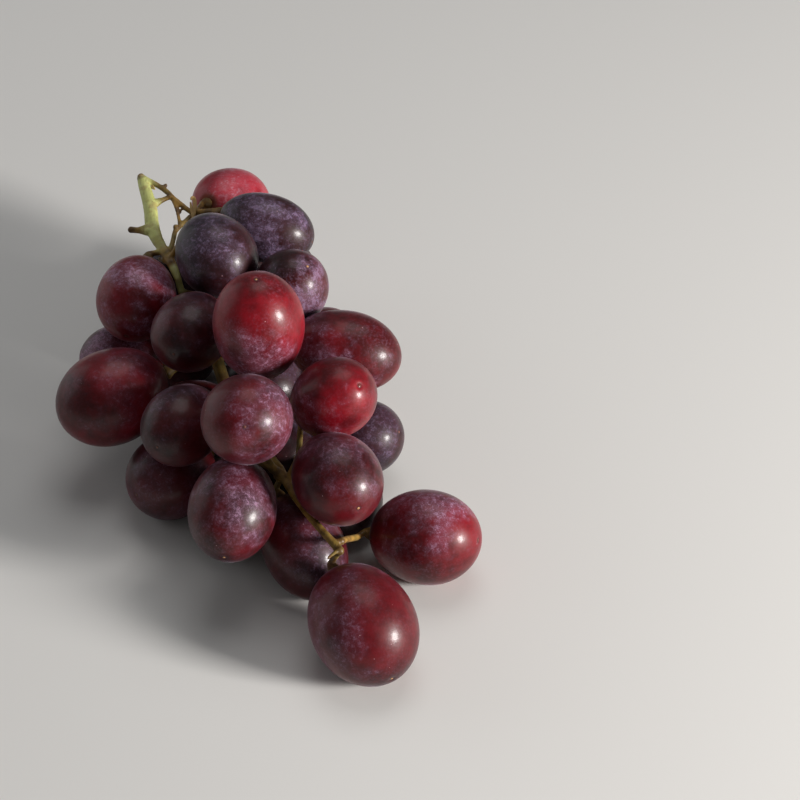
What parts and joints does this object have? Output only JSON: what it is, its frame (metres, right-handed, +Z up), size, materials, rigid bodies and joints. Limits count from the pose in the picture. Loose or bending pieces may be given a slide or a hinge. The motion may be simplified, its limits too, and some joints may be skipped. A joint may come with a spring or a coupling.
{
  "type": "bunch of grapes",
  "caption": "Bunch of dark red table grapes lying on its side, oval berries packed round a cut, branching stem.",
  "frame": {"origin": "middle of the bunch's footprint, on the surface it lies on", "axes": "+Z up from the surface, +Y along the bunch towards the cut end of its stem, +X to the right of the bunch seen from its tip"},
  "size_m": [0.1118, 0.1734, 0.0692],
  "materials": {
    "skin_red": "satin, thin waxy bloom",
    "skin_maroon": "satin, patchy waxy bloom",
    "skin_dark": "satin, waxy bloom",
    "stalk": "matte, green and brown"
  },
  "bodies": {
    "root": {"berry_01": "skin_red", "berry_02": "skin_dark", "berry_03": "skin_dark", "berry_04": "skin_dark", "berry_05": "skin_red", "berry_06": "skin_maroon", "berry_07": "skin_red", "berry_08": "skin_dark", "berry_09": "skin_dark", "berry_10": "skin_maroon", "berry_11": "skin_dark", "berry_12": "skin_dark", "berry_13": "skin_maroon", "berry_14": "skin_maroon", "berry_15": "skin_dark", "berry_16": "skin_maroon", "berry_17": "skin_dark", "berry_18": "skin_maroon", "berry_19": "skin_maroon", "berry_20": "skin_dark", "berry_21": "skin_dark", "berry_22": "skin_dark", "berry_23": "skin_dark", "berry_24": "skin_dark", "berry_25": "skin_dark", "berry_26": "skin_dark", "berry_27": "skin_dark", "berry_28": "skin_dark", "berry_29": "skin_dark", "berry_30": "skin_dark", "berry_31": "skin_dark", "berry_32": "skin_dark", "berry_33": "skin_dark", "berry_34": "skin_dark", "stem": "stalk"}
  },
  "joints": []
}
